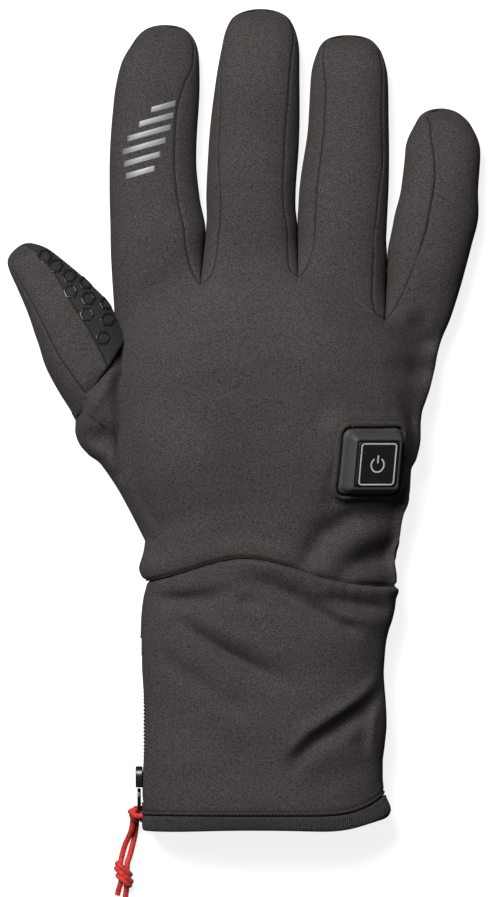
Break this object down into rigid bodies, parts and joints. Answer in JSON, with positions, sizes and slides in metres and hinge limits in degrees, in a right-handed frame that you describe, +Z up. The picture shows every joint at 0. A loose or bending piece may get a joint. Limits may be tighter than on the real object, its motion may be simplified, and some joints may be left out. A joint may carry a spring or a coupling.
{
  "type": "heated glove",
  "caption": "Softshell glove for the right hand, with a long zipped cuff, a heat control button on its back, a gripping thumb strip and a corded zip pull.",
  "frame": {"origin": "on the surface that the glove lies on, under the middle of its box without the cord", "axes": "+X from the thumb to the little finger, +Y from the hem to the fingertips, +Z up, out of the back of the hand"},
  "size_m": [0.1658, 0.3104, 0.0418],
  "materials": {
    "softshell": "matt dark grey softshell with a fine heather",
    "grip_cloth": "matt near-black cloth with raised gloss rings",
    "binding": "fine ribbed stretch binding",
    "zip_plastic": "satin black tape and coil",
    "zip_metal": "dark satin metal, bright at its edges",
    "housing_plastic": "satin moulded rubber-like plastic",
    "button_plastic": "smooth black with a pale printed frame",
    "cord": "braided bright red cord"
  },
  "bodies": {
    "glove": {"back_panel": "softshell", "palm_panel": "grip_cloth", "fourchette_index_middle": "softshell", "fourchette_middle_ring": "softshell", "fourchette_ring_little": "softshell", "thumb_side_panel": "softshell", "thumb_back_panel": "softshell", "thumb_palm_panel": "grip_cloth", "thumb_gusset": "softshell", "cuff": "softshell", "hem_roll": "binding", "hem_band": "binding", "zip_tape": "zip_plastic", "zip_chain": "zip_plastic", "zip_slider": "zip_metal", "zip_puller": "zip_metal", "control_housing": "housing_plastic", "cord_hitch": "cord", "pull_cord_left": "cord", "pull_cord_right": "cord", "cord_knot": "cord"},
    "button": {"control_button": "button_plastic"}
  },
  "joints": [
    {"name": "button_press", "type": "slide", "parent": "glove", "child": "button", "axis": [-0.4456, 0.1908, -0.8746], "range_m": [0, 0.0008], "stiffness_N_per_m": 1500, "springref_m": -0.0004}
  ]
}
